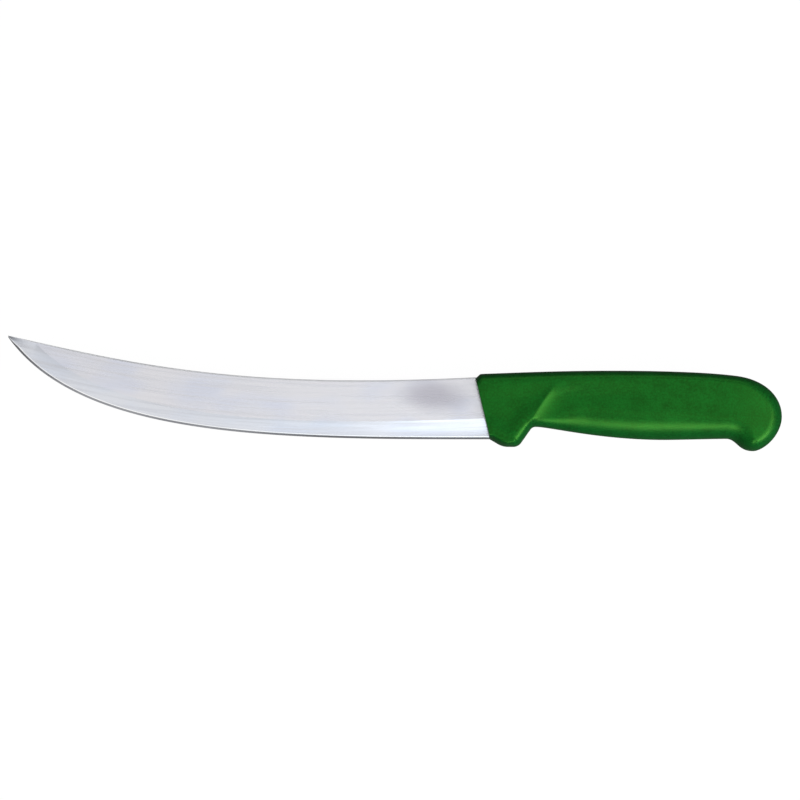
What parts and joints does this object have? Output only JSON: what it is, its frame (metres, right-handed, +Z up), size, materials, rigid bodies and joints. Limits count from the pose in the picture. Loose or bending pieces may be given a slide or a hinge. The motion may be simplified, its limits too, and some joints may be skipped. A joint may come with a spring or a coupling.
{
  "type": "breaking knife",
  "caption": "Breaking knife: an upswept curved steel blade with a ground bevel, set in a moulded plastic handle with a finger guard and a beaked pommel.",
  "frame": {"origin": "under the middle of the knife's bounding box, on the surface that it lies on", "axes": "the knife lies on its flank: +X along its length from the blade's tip to the end of the handle, +Y across it from the cutting edge to the spine, +Z up, square to the blade's flat"},
  "size_m": [0.3324, 0.0498, 0.022],
  "materials": {
    "blade_steel": "satin ground stainless steel, brushed along the blade, with a brighter ground bevel and a honed edge",
    "handle_plastic": "green moulded polypropylene with a fine pebbled mould texture and a soft sheen"
  },
  "bodies": {
    "root": {"blade": "blade_steel", "handle": "handle_plastic"}
  },
  "joints": []
}
